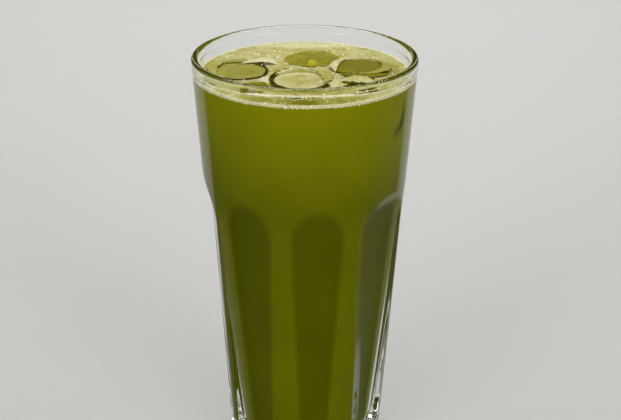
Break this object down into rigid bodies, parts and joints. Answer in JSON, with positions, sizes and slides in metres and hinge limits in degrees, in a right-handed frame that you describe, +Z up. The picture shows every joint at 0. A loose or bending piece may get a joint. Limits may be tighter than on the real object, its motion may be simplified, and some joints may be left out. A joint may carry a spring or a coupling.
{
  "type": "iced matcha latte",
  "caption": "Iced matcha latte with floating ice and pale froth, in a tall tapered drinking glass with a plain band over arched flutes.",
  "frame": {"origin": "centre of the glass's foot, at the level of the table", "axes": "+Z up along the glass's axis, -Y towards the side that the picture shows"},
  "size_m": [0.0878, 0.0878, 0.176],
  "materials": {
    "glass": "clear pressed soda-lime glass",
    "matcha": "opaque green drink, wet gloss",
    "ice": "clear melting ice",
    "froth": "fine pale froth"
  },
  "bodies": {
    "root": {"glass": "glass", "drink": "matcha", "froth": "froth", "ice_left": "ice", "ice_centre": "ice", "ice_back": "ice", "ice_right": "ice", "ice_front_right": "ice", "ice_front_left": "ice"}
  },
  "joints": []
}
